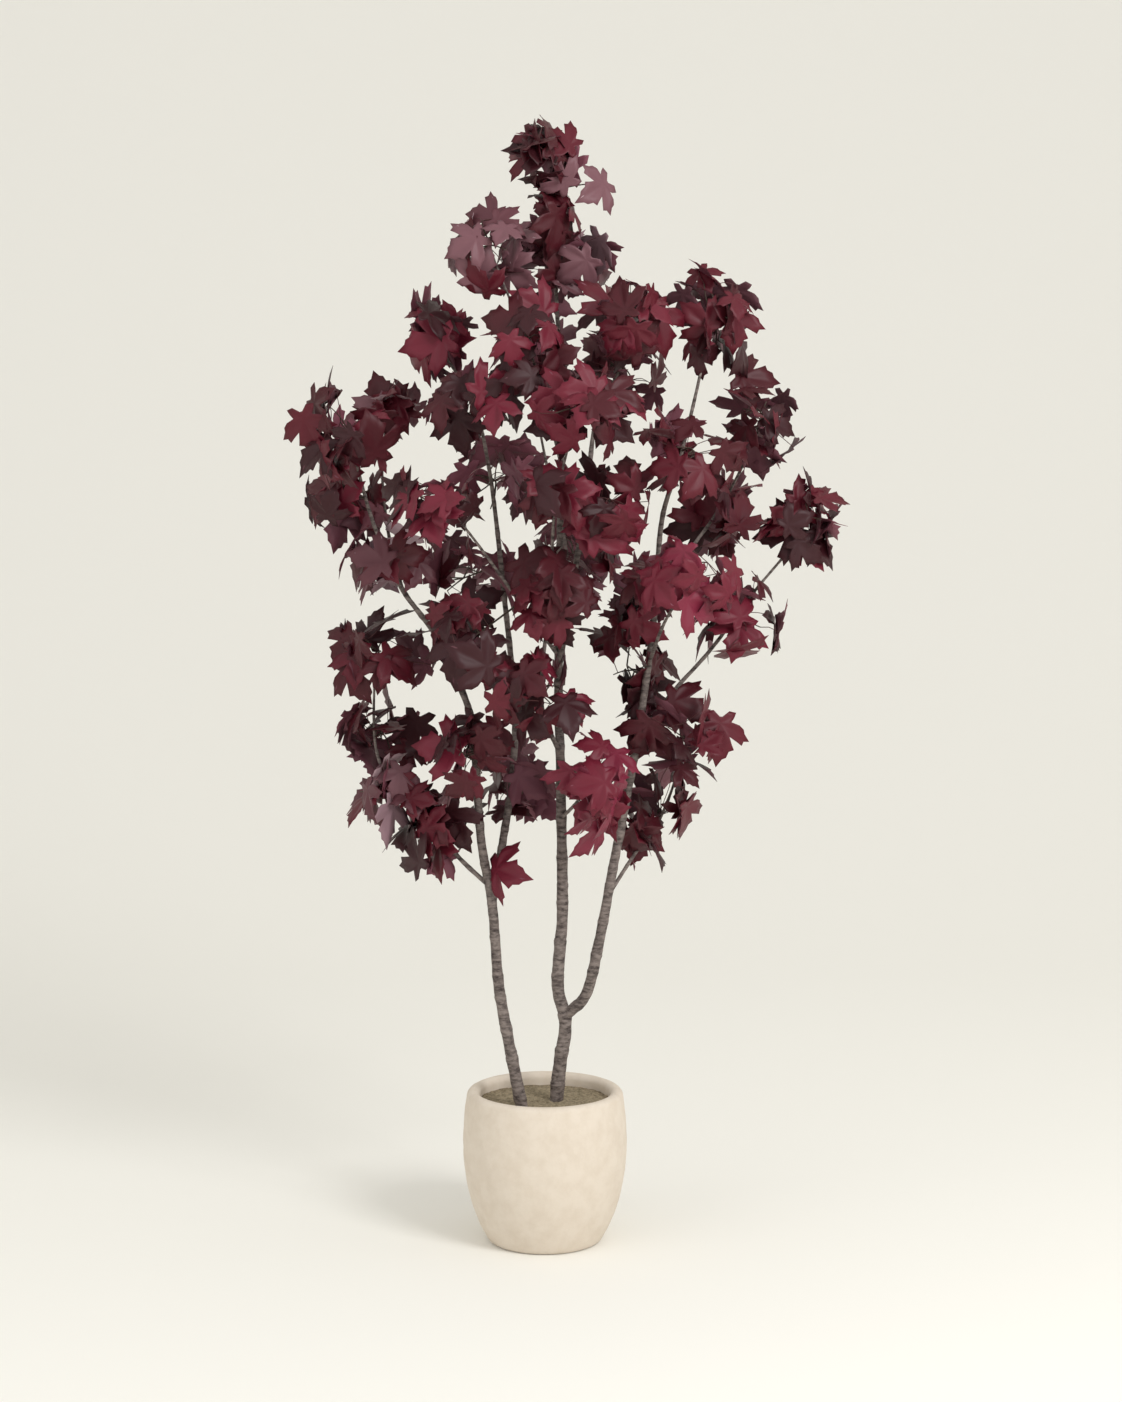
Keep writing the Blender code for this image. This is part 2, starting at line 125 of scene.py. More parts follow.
# Limbs: sides, rings, knots with a groove above them, and the scale of ridges and lumps.
# A tube's first side is square to its route and to this direction.
STEM_SIDES = 22
BOUGH_SIDES = 10
LIMB_RING_SPACING = 0.005
KNOT_SPACING = (0.035, 0.085)
KNOT_SWELL = 0.13
SWELL_REACH = 0.010
KNOT_GROOVE = 0.10
GROOVE_PLACE = 0.004
GROOVE_REACH = 0.0035
RIDGES = 0.07
RIDGE_ACROSS = 190.0
RIDGE_ALONG = 34.0
LUMP_SCALE = 60.0
ACROSS = (0.13, 1.0, 0.21)

# Pot: two arcs that meet at the belly, as in the CAD, a round lip and a small round foot.
# Its inner wall stops out of sight under the soil.
POT_BELLY_RADIUS = 0.168
POT_BELLY_HEIGHT = 0.205
POT_LOWER_ARC = 0.279
POT_UPPER_ARC = 0.329
POT_WALL = 0.026
POT_FOOT = 0.005
FOOT_ROUND_IN = 0.001
FOOT_ROUND_UP = 0.002
INNER_WALL = (0.295, 0.28, 0.26)
POT_SIDES = 128
POT_STEPS = 60
LIP_STEPS = 12
AXIS_RADIUS = 0.0005
UNDERSIDE = 0.001

# Relief of the pot and the soil: depth in metres and scale of each noise
STONE_RELIEF = ((0.0007, 45.0), (0.0003, 240.0))
SOIL_RELIEF = ((0.0022, 70.0), (0.0014, 260.0))

# Soil: how far it reaches into the wall, sinks below the CAD's, and hangs down at its side
SOIL_INTO_WALL = 0.001
SOIL_SINK = 0.001
SOIL_TAPER = 0.002
SOIL_SKIRT = 0.265
SOIL_STEPS = 60

# Finishes
SPECULAR = 0.32
UPPER_ROUGHNESS = 0.50
UNDER_ROUGHNESS = 0.62
TWIG_ROUGHNESS = 0.65
TWIG_COLOUR = (0.070, 0.048, 0.036)
STALK_COLOUR = (0.085, 0.028, 0.028)
NOISE_DETAIL = 6.0
NOISE_ROUGHNESS = 0.65
RAMP_STOPS = (0.36, 0.60)
BUMP_DISTANCE = 0.002

# Studio: floor, even light, lamps as (place, power in watts, side), and the camera
FLOOR_COLOUR = (0.885, 0.872, 0.825)
FLOOR_REACH = 30.0
SWEEP_START = 2.5
SWEEP_RADIUS = 6.0
SWEEP_STEPS = 32
SKY_COLOUR = (0.95, 0.94, 0.91)
SKY_STRENGTH = 0.88
LIGHTS = {
    "key": ((3.0, -3.6, 3.8), 150.0, 1.8),
    "fill": ((-3.4, -3.0, 2.6), 22.0, 3.0),
}
LIT_POINT = (0.0, 0.0, 1.1)
CAMERA_PLACE = (0.033, -6.5, 2.0)
CAMERA_AIM = (0.033, 0.0, 1.12)
CAMERA_LENS = 83.45
CAMERA_FAR = 100.0

# Half outline of a leaf of length 1, from its stalk to its tip
HALF_LEAF = (
    (0.03, -0.02), (0.17, -0.14), (0.33, -0.12), (0.29, -0.01), (0.23, 0.08), (0.41, 0.13),
    (0.52, 0.21), (0.55, 0.29), (0.68, 0.44), (0.54, 0.45), (0.49, 0.54), (0.37, 0.47),
    (0.20, 0.38), (0.25, 0.52), (0.31, 0.64), (0.21, 0.68), (0.175, 0.80), (0.095, 0.84),
)

# Upper side and underside of each tone, the tones that a mass draws from, and which
# masses draw from a certain set
TONES = (
    ((0.060, 0.004, 0.009), (0.130, 0.040, 0.056)),
    ((0.098, 0.006, 0.015), (0.165, 0.050, 0.070)),
    ((0.034, 0.004, 0.007), (0.100, 0.035, 0.046)),
    ((0.135, 0.009, 0.023), (0.200, 0.060, 0.085)),
    ((0.105, 0.032, 0.042), (0.270, 0.165, 0.190)),
    # Tone 5 is a painted sheen: its upper side is a light mauve-grey for light glancing off the
    # fabric blades. Its underside is the leaf's real pale underside.
    ((0.165, 0.070, 0.085), (0.370, 0.255, 0.275)),
    ((0.180, 0.016, 0.038), (0.240, 0.080, 0.112)),
)
DARK = (0, 0, 2, 1)
WINE = (0, 1, 3, 2)
# This set draws the painted-sheen tone 5 together with the leaves' own plum-brown, wine and dark
# burgundy tones
MAUVE_SHEEN = (4, 5, 1, 0)
ROSE = (3, 6, 1, 3)
TONES_OF_MASS = {
    "foliage_upper_left": MAUVE_SHEEN, "foliage_upper_mid": MAUVE_SHEEN, "foliage_centre_face": WINE,
    "foliage_right_face": ROSE, "foliage_right_heart": WINE, "foliage_left_crest": MAUVE_SHEEN,
    "foliage_left_wing": MAUVE_SHEEN, "foliage_centre_mid": WINE, "foliage_left_mid": WINE,
    "foliage_bottom_centre": ROSE, "foliage_low_left_face": WINE, "foliage_far_right": WINE,
    "foliage_centre_low_face": WINE, "foliage_bottom_left": MAUVE_SHEEN, "foliage_right_tower": WINE,
}

# Single leaves that stand out: place of the blade, its length and its tone
LONE_LEAVES = {
    "top": ((0.000, -0.020, 2.225), 0.105, 0),
    # The next two leaves take tone 5, whose upper side is a painted sheen
    "under_top": ((0.026, -0.035, 2.170), 0.080, 5),
    "wisp": ((0.105, -0.030, 2.140), 0.085, 5),
    "tower_tip": ((0.330, -0.030, 1.975), 0.080, 1),
    "tower_side": ((0.380, -0.050, 1.895), 0.090, 0),
    "far_right_tip": ((0.548, -0.030, 1.477), 0.075, 0),
    "far_right_crest": ((0.525, -0.030, 1.530), 0.080, 1),
    "left_crest": ((-0.430, -0.060, 1.730), 0.100, 2),
    "leftmost": ((-0.450, 0.000, 1.525), 0.100, 0),
    "left_stem": ((-0.081, -0.080, 0.785), 0.100, 3),
    "lowest_right": ((0.225, 0.000, 0.820), 0.100, 2),
    "lowest_left": ((-0.375, -0.030, 0.910), 0.090, 1),
    "rose_low": ((0.110, -0.230, 0.985), 0.105, 6),
    "rose_lowest": ((0.090, -0.120, 0.860), 0.100, 6),
}

# Limbs: base radius, tip radius and route, as in the CAD
LIMBS = {
    "stem_centre": (0.0142, 0.0020, (
        (0.021, 0.010, 0.262), (0.030, 0.010, 0.361), (0.042, 0.010, 0.452), (0.027, 0.010, 0.525),
        (0.030, 0.010, 0.607), (0.036, 0.010, 0.698), (0.032, 0.000, 0.979), (0.028, 0.000, 1.173),
        (0.030, 0.000, 1.406), (0.035, 0.000, 1.706), (0.027, 0.010, 1.864), (0.020, 0.020, 2.002),
        (0.012, 0.010, 2.115), (0.004, 0.000, 2.200))),
    "stem_left": (0.0128, 0.0025, (
        (-0.042, -0.035, 0.262), (-0.068, -0.035, 0.397), (-0.093, -0.040, 0.540),
        (-0.106, -0.045, 0.709), (-0.128, -0.045, 0.845), (-0.144, -0.035, 1.061),
        (-0.166, -0.025, 1.145), (-0.215, -0.015, 1.250), (-0.285, -0.025, 1.350),
        (-0.335, -0.010, 1.460), (-0.365, -0.015, 1.560), (-0.385, -0.035, 1.660))),
    "stem_right": (0.0115, 0.0020, (
        (0.043, 0.010, 0.470), (0.084, -0.010, 0.517), (0.107, -0.025, 0.613),
        (0.125, -0.035, 0.711), (0.142, -0.035, 0.805), (0.164, -0.035, 0.922),
        (0.189, -0.025, 1.060), (0.213, -0.025, 1.234), (0.223, -0.025, 1.331),
        (0.234, -0.035, 1.489), (0.270, -0.070, 1.620), (0.310, -0.045, 1.787),
        (0.334, -0.025, 1.930))),
    "stem_inner_left": (0.0085, 0.0022, (
        (-0.106, -0.045, 0.712), (-0.084, 0.000, 0.839), (-0.067, 0.055, 0.950),
        (-0.062, 0.115, 1.100), (-0.085, 0.145, 1.330), (-0.100, 0.125, 1.480),
        (-0.115, 0.070, 1.600), (-0.140, -0.010, 1.720), (-0.190, 0.010, 1.800),
        (-0.225, 0.045, 1.850))),
    "stem_inner_right": (0.0070, 0.0022, (
        (0.029, 0.000, 1.190), (0.051, -0.045, 1.333), (0.077, -0.090, 1.490),
        (0.088, -0.070, 1.584), (0.105, 0.035, 1.690), (0.150, 0.100, 1.780),
        (0.166, 0.010, 1.850), (0.170, -0.080, 1.905))),
    "bough_low_left": (0.0050, 0.0020, (
        (-0.113, -0.045, 0.750), (-0.170, -0.025, 0.800), (-0.225, 0.000, 0.860),
        (-0.300, 0.010, 0.930), (-0.345, 0.055, 1.020), (-0.345, 0.045, 1.200))),
    "bough_left_crest": (0.0040, 0.0020, (
        (-0.285, -0.025, 1.350), (-0.315, 0.055, 1.450), (-0.330, 0.105, 1.570),
        (-0.322, 0.145, 1.690))),
    "bough_left_front": (0.0045, 0.0020, (
        (0.029, 0.000, 1.210), (-0.060, -0.125, 1.350), (-0.140, -0.205, 1.470),
        (-0.190, -0.250, 1.535))),
    "bough_upper_left": (0.0042, 0.0018, (
        (0.033, 0.000, 1.600), (0.000, -0.090, 1.740), (-0.040, -0.135, 1.860),
        (-0.085, -0.100, 1.970), (-0.110, -0.090, 2.040))),
    "bough_centre_front": (0.0048, 0.0020, (
        (0.032, 0.000, 1.010), (0.000, -0.090, 1.100), (-0.006, -0.135, 1.180),
        (0.012, -0.145, 1.350), (0.022, -0.215, 1.530), (0.060, -0.270, 1.700))),
    "bough_centre_back": (0.0045, 0.0020, (
        (0.029, 0.000, 1.270), (0.045, 0.135, 1.400), (0.000, 0.215, 1.600),
        (-0.030, 0.250, 1.755))),
    "bough_front_low": (0.0040, 0.0020, (
        (0.033, 0.000, 0.880), (0.065, -0.070, 0.925), (0.095, -0.135, 0.985),
        (0.105, -0.170, 1.040))),
    "bough_right_low": (0.0042, 0.0020, (
        (0.127, -0.035, 0.725), (0.180, 0.010, 0.800), (0.235, 0.055, 0.870),
        (0.270, 0.035, 0.970), (0.282, 0.000, 1.060))),
    "bough_far_right": (0.0048, 0.0020, (
        (0.188, -0.025, 1.050), (0.260, 0.000, 1.140), (0.335, 0.000, 1.225),
        (0.420, 0.000, 1.340), (0.500, -0.010, 1.440), (0.525, -0.025, 1.495))),
    "bough_right_front": (0.0040, 0.0020, (
        (0.208, -0.025, 1.195), (0.235, -0.135, 1.290), (0.275, -0.225, 1.375),
        (0.285, -0.260, 1.410))),
    "bough_right_back": (0.0046, 0.0020, (
        (0.222, -0.025, 1.320), (0.290, 0.090, 1.410), (0.355, 0.170, 1.490),
        (0.410, 0.135, 1.600), (0.440, 0.070, 1.700))),
}
SOIL_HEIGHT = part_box("soil")[1][2]
POT_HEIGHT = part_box("pot")[1][2]
MASSES = [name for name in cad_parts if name.startswith("foliage_")]



# Materials

def plain(name, colour, roughness):
    finish = bpy.data.materials.new(name)
    finish.use_nodes = True
    shader = finish.node_tree.nodes["Principled BSDF"]
    shader.inputs["Base Color"].default_value = (*colour, 1.0)
    shader.inputs["Roughness"].default_value = roughness
    shader.inputs["Specular IOR Level"].default_value = SPECULAR
    return finish


def patterned(name, dark, light, roughness, scale, stretch, bump):
    """Two colours mixed by noise in the part's own space, with a bump from the same noise."""
    finish = plain(name, light, roughness)
    nodes, links = finish.node_tree.nodes, finish.node_tree.links
    shader = nodes["Principled BSDF"]
    place = nodes.new("ShaderNodeTexCoord")
    mapping = nodes.new("ShaderNodeMapping")
    mapping.inputs["Scale"].default_value = stretch
    links.new(place.outputs["Object"], mapping.inputs["Vector"])
    pattern = nodes.new("ShaderNodeTexNoise")
    pattern.inputs["Scale"].default_value = scale
    pattern.inputs["Detail"].default_value = NOISE_DETAIL
    pattern.inputs["Roughness"].default_value = NOISE_ROUGHNESS
    links.new(mapping.outputs["Vector"], pattern.inputs["Vector"])
    ramp = nodes.new("ShaderNodeValToRGB")
    stops = ramp.color_ramp.elements
    for stop, position, colour in zip(stops, RAMP_STOPS, (dark, light)):
        stop.position = position
        stop.color = (*colour, 1.0)
    links.new(pattern.outputs["Fac"], ramp.inputs["Fac"])
    links.new(ramp.outputs["Color"], shader.inputs["Base Color"])
    relief = nodes.new("ShaderNodeBump")
    relief.inputs["Strength"].default_value = bump
    relief.inputs["Distance"].default_value = BUMP_DISTANCE
    links.new(pattern.outputs["Fac"], relief.inputs["Height"])
    links.new(relief.outputs["Normal"], shader.inputs["Normal"])
    return finish


def bark_look():
    """Grey-brown bark, with dark marks that run across the limb."""
    return patterned("bark_look", dark=(0.042, 0.030, 0.028), light=(0.225, 0.186, 0.168),
                     roughness=0.72, scale=1.0, stretch=(48.0, 48.0, 130.0), bump=0.6)


def pot_look():
    return patterned("pot_look", dark=(0.655, 0.572, 0.475), light=(0.700, 0.622, 0.528),
                     roughness=0.82, scale=30.0, stretch=(1.0, 1.0, 1.0), bump=0.25)


def soil_look():
    return patterned("soil_look", dark=(0.150, 0.120, 0.072), light=(0.330, 0.270, 0.180),
                     roughness=0.95, scale=160.0, stretch=(1.0, 1.0, 1.0), bump=0.6)


def leaf_looks():
    """For each tone, the finish of the upper side and then that of the underside."""
    finishes = []
    for number, (upper, under) in enumerate(TONES):
        finishes.append(plain(f"leaf_{number}", upper, UPPER_ROUGHNESS))
        finishes.append(plain(f"leaf_under_{number}", under, UNDER_ROUGHNESS))
    return finishes


# Meshes

class Soup:
    """Vertices, faces and material numbers of a piece that is joined from many parts."""

    def __init__(self):
        self.points = []
        self.faces = []
        self.finishes = []

    def add(self, points, faces, finishes=None):
        first = len(self.points)
        self.points.extend(points)
        self.faces.extend(tuple(first + corner for corner in face) for face in faces)
        self.finishes.extend(finishes or [0] * len(faces))

    def build(self, name, materials):
        mesh = bpy.data.meshes.new(name)
        mesh.from_pydata(self.points, [], self.faces)
        for finish in materials:
            mesh.materials.append(finish)
        mesh.polygons.foreach_set("material_index", self.finishes)
        mesh.polygons.foreach_set("use_smooth", [True] * len(self.faces))
        mesh.update()
        piece = bpy.data.objects.new(name, mesh)
        bpy.context.collection.objects.link(piece)
        return piece


def one_part(name, points, faces, finish):
    soup = Soup()
    soup.add(points, faces)
    return soup.build(name, [finish])


def band(ring, sides):
    """The faces between a ring of points and the next one."""
    faces = []
    for side in range(sides):
        after = (side + 1) % sides
        low, high = ring * sides, (ring + 1) * sides
        faces.append((low + side, low + after, high + after, high + side))
    return faces


def smooth_route(points, spacing):
    """Points of a smooth curve through the given ones, about one spacing apart."""
    stops = [Vector(point) for point in points]
    stops = [2.0 * stops[0] - stops[1]] + stops + [2.0 * stops[-1] - stops[-2]]
    route = []
    for before, start, end, after in zip(stops, stops[1:], stops[2:], stops[3:]):
        count = max(1, round((end - start).length / spacing))
        for step in range(count):
            t = step / count
            route.append(0.5 * (2.0 * start + (end - before) * t
                                + (2.0 * before - 5.0 * start + 4.0 * end - after) * t * t
                                + (3.0 * start - before - 3.0 * end + after) * t ** 3))
    route.append(stops[-2])
    return route


def tube(route, radii, sides, relief=None):
    """Points and faces of a closed tube. Relief gives a factor for a point on its surface."""
    points, faces = [], []
    aim = (route[1] - route[0]).normalized()
    side_axis = aim.cross(Vector(ACROSS)).normalized()
    for index, point in enumerate(route):
        aim = (route[min(len(route) - 1, index + 1)] - route[max(0, index - 1)]).normalized()
        side_axis = (side_axis - aim * side_axis.dot(aim)).normalized()
        other_axis = aim.cross(side_axis)
        for side in range(sides):
            angle = 2.0 * math.pi * side / sides
            spoke = side_axis * math.cos(angle) + other_axis * math.sin(angle)
            radius = radii[index]
            if relief:
                radius *= relief(point + spoke * radius)
            points.append(point + spoke * radius)
    for ring in range(len(route) - 1):
        faces += band(ring, sides)
    faces.append(tuple(reversed(range(sides))))
    faces.append(tuple(range(len(points) - sides, len(points))))
    return points, faces


def lathe(profile, sides, uneven):
    """A profile of (radius, height) points turned about Z, each point moved by uneven."""
    points, faces = [], []
    for radius, height in profile:
        for side in range(sides):
            angle = 2.0 * math.pi * side / sides
            spot = Vector((radius * math.cos(angle), radius * math.sin(angle), height))
            points.append(uneven(spot))
    for ring in range(len(profile) - 1):
        faces += band(ring, sides)
    return points, faces


# Limbs

def knot_places(length, rng):
    knots = [rng.uniform(*KNOT_SPACING)]
    while knots[-1] < length:
        knots.append(knots[-1] + rng.uniform(*KNOT_SPACING))
    return knots


def limb_radii(name, route, rng):
    """A straight taper that swells at each knot, with a groove just above the knot."""
    base, tip, _ = LIMBS[name]
    lengths = [0.0]
    for start, end in zip(route, route[1:]):
        lengths.append(lengths[-1] + (end - start).length)
    knots = knot_places(lengths[-1], rng)
    radii = []
    for length in lengths:
        radius = base + (tip - base) * length / lengths[-1]
        factor = 1.0
        for knot in knots:
            factor += KNOT_SWELL * math.exp(-((length - knot) / SWELL_REACH) ** 2)
            past = length - knot - GROOVE_PLACE
            factor -= KNOT_GROOVE * math.exp(-(past / GROOVE_REACH) ** 2)
        radii.append(radius * factor)
    return radii


def ridges(point):
    """Ridges along the limb and rounder lumps, as a factor on its radius."""
    stretched = Vector((point.x * RIDGE_ACROSS, point.y * RIDGE_ACROSS, point.z * RIDGE_ALONG))
    lumps = noise.noise(point * LUMP_SCALE)
    return 1.0 + RIDGES * noise.noise(stretched) + RIDGES * lumps


def build_limbs(bark, rng):
    for name in LIMBS:
        sides = STEM_SIDES if name.startswith("stem") else BOUGH_SIDES
        route = smooth_route(LIMBS[name][2], LIMB_RING_SPACING)
        points, faces = tube(route, limb_radii(name, route, rng), sides, ridges)
        piece = one_part("bark_" + name, points, faces, bark)
        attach(piece, "root")
        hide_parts(name)


# Pot and soil

def pot_radius(height):
    arc = POT_LOWER_ARC if height < POT_BELLY_HEIGHT else POT_UPPER_ARC
    return POT_BELLY_RADIUS * math.sqrt(1.0 - ((height - POT_BELLY_HEIGHT) / arc) ** 2)


def stone_face(spot):
    """The cast face is slightly uneven; the flat underside isn't."""
    if spot.z < UNDERSIDE:
        return spot
    outward = Vector((spot.x, spot.y, 0.0)).normalized()
    return spot + outward * sum(deep * noise.noise(spot * scale) for deep, scale in STONE_RELIEF)


def build_pot(stone):
    edge = POT_WALL / 2.0
    top = POT_HEIGHT - edge
    foot = pot_radius(0.0)
    profile = [(AXIS_RADIUS, 0.0), (foot - POT_FOOT, 0.0),
               (foot - FOOT_ROUND_IN, FOOT_ROUND_UP)]
    rise = top - POT_FOOT
    profile += [(pot_radius(h), h) for h in (POT_FOOT + rise * i / POT_STEPS
                                             for i in range(POT_STEPS + 1))]
    middle = pot_radius(top) - edge
    for step in range(1, LIP_STEPS):
        angle = math.pi * step / LIP_STEPS
        profile.append((middle + edge * math.cos(angle), top + edge * math.sin(angle)))
    profile += [(pot_radius(h) - POT_WALL, h) for h in (top, *INNER_WALL)]
    profile.append((AXIS_RADIUS, INNER_WALL[-1]))
    points, faces = lathe(profile, POT_SIDES, stone_face)
    piece = one_part("pot_body", points, faces, stone)
    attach(piece, "root")
    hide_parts("pot")


def crumbly(spot):
    rough = sum(deep * noise.noise(spot * scale) for deep, scale in SOIL_RELIEF)
    return spot + Vector((0.0, 0.0, rough))


def build_soil(earth):
    """The soil's surface and a short skirt, which reach just into the pot's wall."""
    reach = pot_radius(SOIL_HEIGHT) - POT_WALL + SOIL_INTO_WALL
    level = SOIL_HEIGHT - SOIL_SINK
    profile = [(reach - SOIL_TAPER, SOIL_SKIRT)]
    profile += [(max(AXIS_RADIUS, reach * (1.0 - i / SOIL_STEPS)), level)
                for i in range(SOIL_STEPS + 1)]
    points, faces = lathe(profile, POT_SIDES, crumbly)
    piece = one_part("soil_top", points, faces, earth)
    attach(piece, "root")
    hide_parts("soil")


# Leaves

def outline():
    """The whole outline, counter-clockwise from beside the stalk."""
    left = [(-x, y) for x, y in reversed(HALF_LEAF)]
    return [*HALF_LEAF, (0.0, 1.0), *left]


OUTLINE = outline()


def blade_height(x, y, bend):
    """How far a point of the blade stands off its plane: creased at veins, drooping, wavy."""
    reach = math.hypot(x, y - LEAF_HEART[1])
    angle = math.degrees(math.atan2(y - LEAF_HEART[1], abs(x)))
    from_vein = min(abs(angle - vein) for vein in VEINS) / VEIN_REACH
    crease = CREASE * reach * min(1.0, from_vein)
    droop = bend["droop"] * y * abs(y) + bend["wings"] * x * x
    phase = math.radians(angle * WAVES + bend["turn"]) + 2.0 * x
    wave = bend["wave"] * reach * math.sin(phase)
    return crease - droop + wave


def leaf_body(size, bend):
    """Points and faces of a thin closed blade. Faces of its underside have the number 1."""
    heart_x, heart_y = LEAF_HEART
    flat = [LEAF_HEART]
    for share in RINGS_OF_LEAF:
        flat += [(heart_x + (x - heart_x) * share, heart_y + (y - heart_y) * share)
                 for x, y in OUTLINE]
    upper = [Vector((x, y, blade_height(x, y, bend))) * size for x, y in flat]
    lower = [point - Vector((0.0, 0.0, BLADE)) for point in upper]
    count = len(OUTLINE)
    rings = [[1 + ring * count + i for i in range(count)] for ring in range(len(RINGS_OF_LEAF))]
    top = [(0, rings[0][i], rings[0][(i + 1) % count]) for i in range(count)]
    for inner, outer in zip(rings, rings[1:]):
        for i in range(count):
            after = (i + 1) % count
            top.append((inner[i], outer[i], outer[after], inner[after]))
    shift = len(upper)
    under = [tuple(shift + corner for corner in reversed(face)) for face in top]
    rim = rings[-1]
    edge = [(rim[i], shift + rim[i], shift + rim[(i + 1) % count], rim[(i + 1) % count])
            for i in range(count)]
    sides = [0] * len(top) + [1] * len(under) + [0] * len(edge)
    return upper + lower, top + under + edge, sides


def inside_box(points):
    low, high = CAD_BOX
    return all(low[axis] - ROOM_PAST_CAD < point[axis] < high[axis] + ROOM_PAST_CAD
               for point in points for axis in range(3))


def random_unit(rng):
    while True:
        way = Vector((rng.uniform(-1, 1), rng.uniform(-1, 1), rng.uniform(-1, 1)))
        if SHORTEST_WAY < way.length < 1.0:
            return way.normalized()


def leaf_turn(rng, middle, centre):
    """How a leaf is turned, as its width, tip and face axes: it looks outward and hangs."""
    outward = (middle - centre).normalized()
    from_axis = Vector((middle.x, middle.y, 0.0))
    from_axis = from_axis.normalized() if from_axis.length > NEAR_AXIS else outward
    face = outward * FACE_FROM_MASS + from_axis * FACE_FROM_STEM + Vector(FACE_PULL)
    face += random_unit(rng) * FACE_SPREAD
    face.normalize()
    tip = from_axis * TIP_FROM_STEM + outward * TIP_FROM_MASS + Vector(TIP_PULL)
    tip += random_unit(rng) * TIP_SPREAD
    tip = (tip - face * tip.dot(face)).normalized()
    return Matrix((tip.cross(face), tip, face)).transposed()


def grow_leaf(rng, middle, centre, tones, length=None):
    """A leaf about its middle, tried again a little smaller while it leaves the whole box."""
    for attempt in range(LEAF_ATTEMPTS):
        size = length or rng.uniform(LEAF_SMALL, LEAF_LARGE)
        size *= 1.0 - SMALLER_EACH_TIME * attempt
        bend = {name: rng.uniform(*limits) for name, limits in BENDS.items()}
        turned = leaf_turn(rng, middle, centre)
        foot = middle - turned @ Vector((0.0, LEAF_MIDDLE * size, 0.0))
        points, faces, sides = leaf_body(size, bend)
        placed = [foot + turned @ point for point in points]
        if inside_box(placed):
            tone = rng.choice(tones)
            return foot, placed, faces, [2 * tone + side for side in sides]
    return None


# Growth

def bent(start, end, rng, lift):
    """A route between two points that bows a little at random, and upward by the lift."""
    middle = (start + end) / 2.0 + random_unit(rng) * (end - start).length * BOW
    middle.z += lift
    return smooth_route((start, middle, end), TWIG_RING_SPACING)


def add_tube(soup, route, base, tip, sides):
    last = max(1, len(route) - 1)
    radii = [base + (tip - base) * index / last for index in range(len(route))]
    points, faces = tube(route, radii, sides)
    soup.add(points, faces)


def nearest(spots, target):
    return min(spots, key=lambda spot: (spot - target).length)


def in_mass(rng, centre, half, reach):
    """A random place in a mass, within a share of its half sizes and seldom at its heart."""
    way = random_unit(rng)
    share = reach * rng.uniform(INNERMOST, 1.0) ** 0.5
    return centre + Vector((way.x * half.x, way.y * half.y, way.z * half.z)) * share


def grow_shoots(root, centre, half, rng, twigs):
    """The main twig of a mass and its side shoots. Gives the spots that leaves can grow from."""
    main = [root]
    if (centre - root).length > SHORTEST_MAIN:
        main = bent(root, centre, rng, MAIN_LIFT)
        add_tube(twigs, main, TWIG_RADIUS * MAIN_TWIG_GROWTH, TWIG_RADIUS, MAIN_SIDES)
    spots = list(main)
    for _ in range(SHOOTS_IN_MASS):
        end = in_mass(rng, centre, half, SHOOT_REACH)
        start = nearest(main, end)
        if (end - start).length < SHORTEST_SHOOT:
            continue
        route = bent(start, end, rng, SHOOT_LIFT)
        add_tube(twigs, route, TWIG_RADIUS, TWIG_RADIUS * SHOOT_TAPER, SHOOT_SIDES)
        spots += route
    return spots


def grow_mass(name, limb_spots, rng, leaves, twigs, stalks):
    low, high = (Vector(corner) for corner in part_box(name))
    centre, half = (low + high) / 2.0, (high - low) / 2.0
    usual = DARK if rng.random() < SHARE_OF_DARK else WINE
    tones = TONES_OF_MASS.get(name, usual)
    spots = grow_shoots(nearest(limb_spots, centre), centre, half, rng, twigs)
    for _ in range(LEAVES_IN_MASS):
        grown = grow_leaf(rng, in_mass(rng, centre, half, LEAF_REACH), centre, tones)
        if grown is None:
            continue
        foot, points, faces, sides = grown
        leaves.add(points, faces, sides)
        start = nearest(spots, foot)
        if (foot - start).length > SHORTEST_STALK:
            stalk = bent(start, foot, rng, STALK_LIFT)
            add_tube(stalks, stalk, STALK_RADIUS, STALK_RADIUS * STALK_TAPER, STALK_SIDES)


def grow_lone_leaf(name, limb_spots, rng, groups, twigs):
    place, length, tone = LONE_LEAVES[name]
    middle = Vector(place)
    start = nearest(limb_spots, middle)
    grown = grow_leaf(rng, middle, start, (tone,), length)
    if grown is None:
        return
    foot, points, faces, sides = grown
    groups[group_at(middle)].add(points, faces, sides)
    add_tube(twigs, bent(start, foot, rng, 0.0), TWIG_RADIUS, STALK_RADIUS, SHOOT_SIDES)


def group_at(place):
    if place[2] > UPPER_LEAVES_FROM:
        return "leaves_upper"
    return "leaves_left" if place[0] < 0.0 else "leaves_right"


def group_of(name):
    low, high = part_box(name)
    return group_at([(low[axis] + high[axis]) / 2.0 for axis in range(3)])


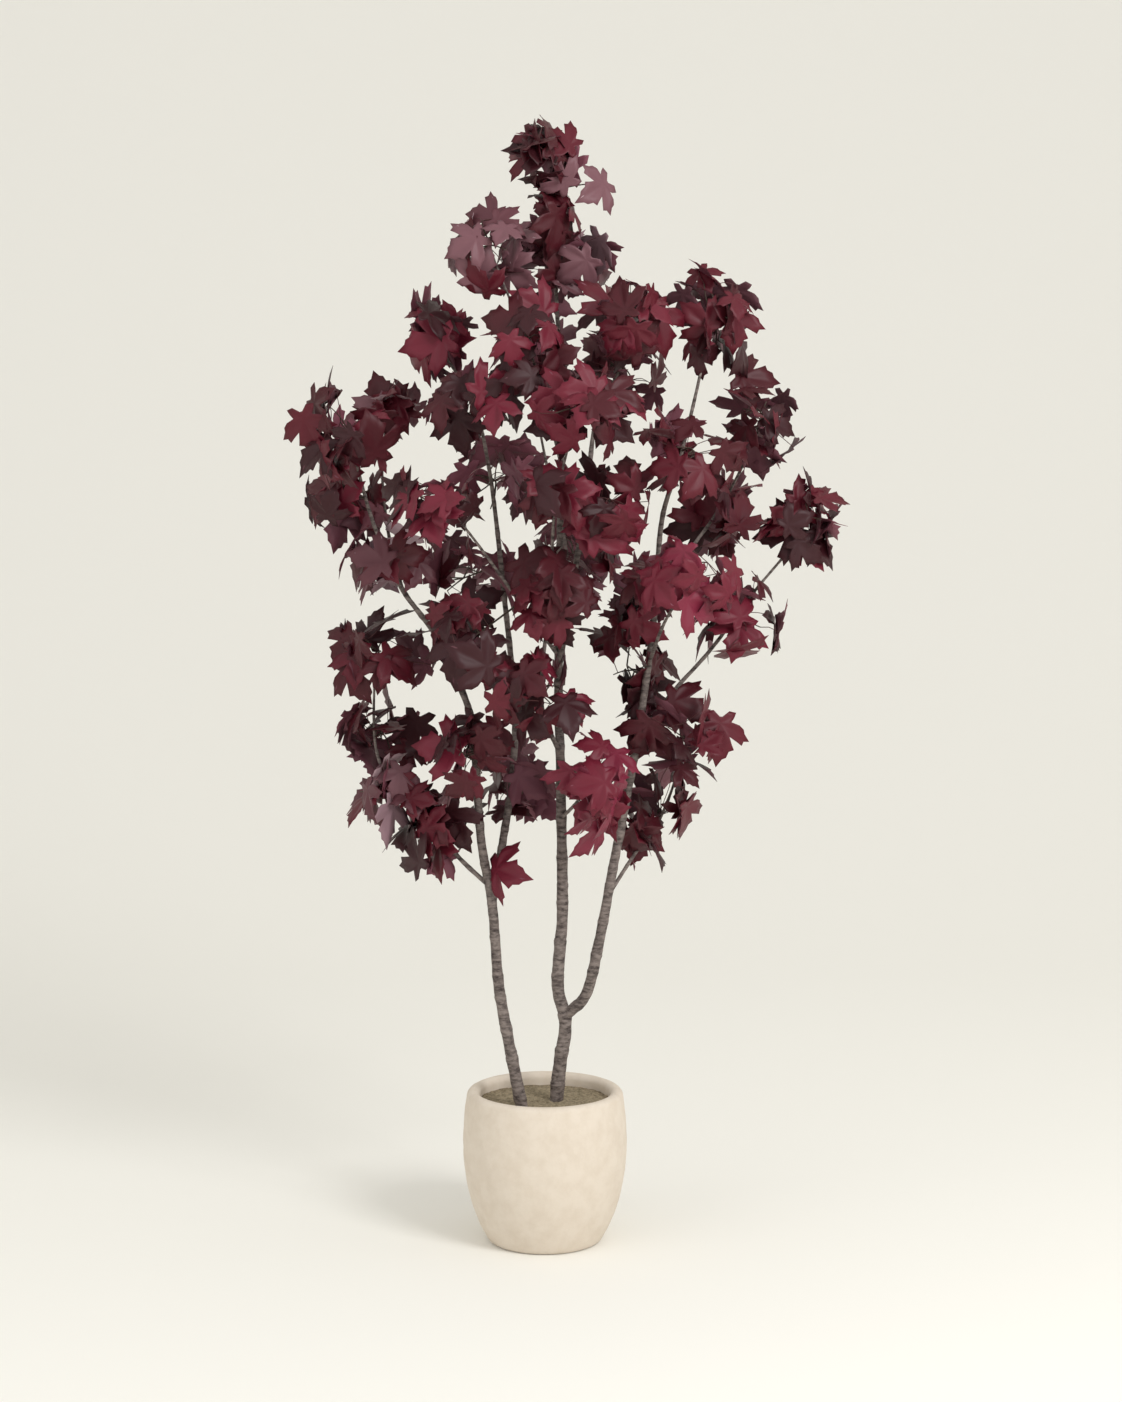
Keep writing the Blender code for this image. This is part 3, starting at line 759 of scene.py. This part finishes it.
def build_foliage(rng):
    finishes = leaf_looks()
    limb_spots = []
    for _, _, points in LIMBS.values():
        route = smooth_route(points, LIMB_SPOT_SPACING)
        limb_spots += [spot for spot in route if spot.z > LOWEST_TWIG]
    groups, members = {}, {}
    twigs, stalks = Soup(), Soup()
    for name in MASSES:
        group = group_of(name)
        leaves = groups.setdefault(group, Soup())
        members.setdefault(group, []).append(name)
        grow_mass(name, limb_spots, rng, leaves, twigs, stalks)
    for name in LONE_LEAVES:
        grow_lone_leaf(name, limb_spots, rng, groups, twigs)
    for group, leaves in groups.items():
        piece = leaves.build(group, finishes)
        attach(piece, "root")
        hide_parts(*members[group])
    for name, soup, colour in (("twigs", twigs, TWIG_COLOUR),
                               ("leaf_stalks", stalks, STALK_COLOUR)):
        piece = soup.build(name, [plain(name, colour, TWIG_ROUGHNESS)])
        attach(piece, "root")


# Studio

def build_floor():
    """A pale floor that sweeps up behind the tree, so that no edge is seen."""
    profile = [(-FLOOR_REACH, 0.0)]
    for step in range(SWEEP_STEPS + 1):
        angle = 0.5 * math.pi * step / SWEEP_STEPS
        profile.append((SWEEP_START + SWEEP_RADIUS * math.sin(angle),
                        SWEEP_RADIUS * (1.0 - math.cos(angle))))
    profile.append((SWEEP_START + SWEEP_RADIUS, FLOOR_REACH))
    points = [Vector((x, y, z)) for y, z in profile for x in (-FLOOR_REACH, FLOOR_REACH)]
    faces = [(2 * i, 2 * i + 1, 2 * i + 3, 2 * i + 2) for i in range(len(profile) - 1)]
    one_part("floor", points, faces, plain("backdrop", FLOOR_COLOUR, 1.0))


def build_lights():
    world = bpy.data.worlds.new("studio")
    world.use_nodes = True
    background = world.node_tree.nodes["Background"]
    background.inputs["Color"].default_value = (*SKY_COLOUR, 1.0)
    background.inputs["Strength"].default_value = SKY_STRENGTH
    bpy.context.scene.world = world
    for name, (place, power, size) in LIGHTS.items():
        data = bpy.data.lights.new(name, "AREA")
        data.energy = power
        data.size = size
        light = bpy.data.objects.new(name, data)
        light.location = place
        light.rotation_euler = turn_towards(place, LIT_POINT)
        bpy.context.collection.objects.link(light)


def turn_towards(place, target):
    aim = Vector(target) - Vector(place)
    return aim.to_track_quat("-Z", "Y").to_euler()


def build_camera():
    data = bpy.data.cameras.new("camera")
    data.lens = CAMERA_LENS
    data.clip_end = CAMERA_FAR
    camera = bpy.data.objects.new("camera", data)
    camera.location = CAMERA_PLACE
    camera.rotation_euler = turn_towards(CAMERA_PLACE, CAMERA_AIM)
    bpy.context.collection.objects.link(camera)
    bpy.context.scene.camera = camera


def build():
    rng = random.Random(SEED)
    build_limbs(bark_look(), rng)
    build_pot(pot_look())
    build_soil(soil_look())
    build_foliage(rng)
    build_floor()
    build_lights()
    build_camera()
    bpy.context.scene.view_settings.view_transform = "Standard"


build()
